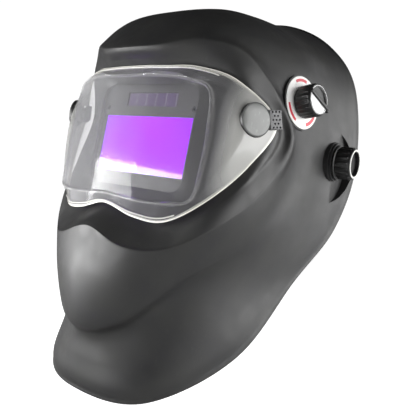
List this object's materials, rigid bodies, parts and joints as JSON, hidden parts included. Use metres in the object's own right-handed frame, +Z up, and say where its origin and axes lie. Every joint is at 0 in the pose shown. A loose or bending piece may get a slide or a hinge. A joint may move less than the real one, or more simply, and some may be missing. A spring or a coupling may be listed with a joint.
{
  "type": "welding helmet",
  "caption": "Auto-darkening welding helmet: tilting black hood with clear cover lens, violet filter cartridge, side shade knob, tension knobs and ratchet headgear.",
  "frame": {"origin": "middle of the tilt axis, between the two tension knobs, where the headgear sits on the head", "axes": "+X to the wearer's left, -Y forward through the filter window, +Z up with the window upright"},
  "size_m": [0.2828, 0.3207, 0.3673],
  "materials": {
    "hood_plastic": "satin moulded black nylon",
    "black_plastic": "satin black",
    "knob_black": "matt black grip",
    "clear_lens": "clear polycarbonate",
    "filter_violet": "violet coated filter glass",
    "case_grey": "satin dark grey",
    "solar": "glossy dark violet",
    "sensor": "glossy black",
    "board": "green circuit board",
    "bright_steel": "bright steel",
    "brass": "machined brass",
    "dial_white": "white printed plate",
    "silver_ring": "satin silver",
    "stud_grey": "glossy dark grey",
    "tab_grey": "satin grey",
    "washer_white": "white nylon",
    "cable": "black sheath",
    "towelling": "padded sweatband cloth",
    "foam": "padded cloth"
  },
  "bodies": {
    "headgear": {"pivot_bolt_left": "bright_steel", "pivot_bolt_right": "bright_steel", "tilt_stop_left": "black_plastic", "tilt_stop_right": "black_plastic", "side_arm_left": "black_plastic", "side_arm_right": "black_plastic", "forehead_band": "black_plastic", "crown_strap_left": "black_plastic", "crown_strap_right": "black_plastic", "crown_rivets": "black_plastic", "crown_pins": "black_plastic", "sweatband": "towelling"},
    "hood": {"hood": "hood_plastic", "cover_lens": "clear_lens", "filter_holder": "black_plastic", "filter_case_front": "case_grey", "filter_case_back": "case_grey", "filter_glass": "filter_violet", "inner_cover_lens": "clear_lens", "solar_cell": "solar", "arc_sensors": "sensor", "circuit_board": "board", "dial_plate": "dial_white", "potentiometer": "black_plastic", "shade_nut": "brass", "shade_cable": "cable", "lens_stud_left": "stud_grey", "lens_stud_right": "stud_grey", "friction_washers": "washer_white"},
    "bail": {"retaining_bail": "bright_steel"},
    "battery_drawer": {"battery_drawer": "black_plastic", "coin_cell": "bright_steel"},
    "sensitivity_knob": {"sensitivity_knob": "knob_black"},
    "delay_knob": {"delay_knob": "knob_black"},
    "shade_knob": {"shade_knob": "knob_black", "shade_knob_cap": "silver_ring", "shade_shaft": "bright_steel"},
    "lens_release_left": {"lens_release_left": "tab_grey"},
    "lens_release_right": {"lens_release_right": "tab_grey"},
    "tension_knob_left": {"tension_knob_left": "knob_black", "tension_insert_left": "brass"},
    "tension_knob_right": {"tension_knob_right": "knob_black", "tension_insert_right": "brass"},
    "rear_band": {"band_tail_left": "black_plastic", "band_tail_right": "black_plastic", "ratchet_housing": "black_plastic", "ratchet_cover": "black_plastic", "ratchet_spring": "bright_steel", "rear_pad": "foam"},
    "ratchet_knob": {"ratchet_knob": "knob_black", "ratchet_pinion": "washer_white"}
  },
  "joints": [
    {"name": "hood_lift", "type": "hinge", "parent": "headgear", "child": "hood", "pos_m": [0, 0, 0], "axis": [-1, 0, 0], "range_deg": [0, 70]},
    {"name": "bail_swing", "type": "hinge", "parent": "hood", "child": "bail", "pos_m": [0, -0.1142, 0.033], "axis": [1, 0, 0], "range_deg": [0, 30]},
    {"name": "battery_slide", "type": "slide", "parent": "hood", "child": "battery_drawer", "axis": [0, 0, 1], "range_m": [0, 0.02]},
    {"name": "sensitivity_turn", "type": "hinge", "parent": "hood", "child": "sensitivity_knob", "pos_m": [-0.02, -0.118, -0.054], "axis": [0, 1, 0], "range_deg": [-135, 135]},
    {"name": "delay_turn", "type": "hinge", "parent": "hood", "child": "delay_knob", "pos_m": [0.02, -0.118, -0.054], "axis": [0, 1, 0], "range_deg": [-135, 135]},
    {"name": "shade_turn", "type": "hinge", "parent": "hood", "child": "shade_knob", "pos_m": [0.1088, -0.0636, 0.0358], "axis": [0.9719, -0.2066, 0.1132], "range_deg": [-135, 135]},
    {"name": "release_press_left", "type": "hinge", "parent": "hood", "child": "lens_release_left", "pos_m": [0.1067, -0.10226, 0.00444], "axis": [-0.0311, 0.0158, 0.9994], "range_deg": [0, 8], "stiffness_Nm_per_rad": 0.05},
    {"name": "release_press_right", "type": "hinge", "parent": "hood", "child": "lens_release_right", "pos_m": [-0.1067, -0.10226, 0.00444], "axis": [-0.0311, -0.0158, -0.9994], "range_deg": [0, 8], "stiffness_Nm_per_rad": 0.05},
    {"name": "tension_turn_left", "type": "hinge", "parent": "headgear", "child": "tension_knob_left", "pos_m": [0.1254, 0, 0], "axis": [1, 0, 0], "range_deg": [0, 360]},
    {"name": "tension_turn_right", "type": "hinge", "parent": "headgear", "child": "tension_knob_right", "pos_m": [-0.1254, 0, 0], "axis": [-1, 0, 0], "range_deg": [0, 360]},
    {"name": "band_size_slide", "type": "slide", "parent": "headgear", "child": "rear_band", "axis": [0, -0.9781, 0.2079], "range_m": [0, 0.012]},
    {"name": "ratchet_turn", "type": "hinge", "parent": "rear_band", "child": "ratchet_knob", "pos_m": [0, 0.12129, -0.02578], "axis": [0, 0.9781, -0.2079], "range_deg": [0, 121]}
  ],
  "couplings": [
    {"joint": "ratchet_turn", "follows": "band_size_slide", "rad_per_m": 174.53}
  ]
}
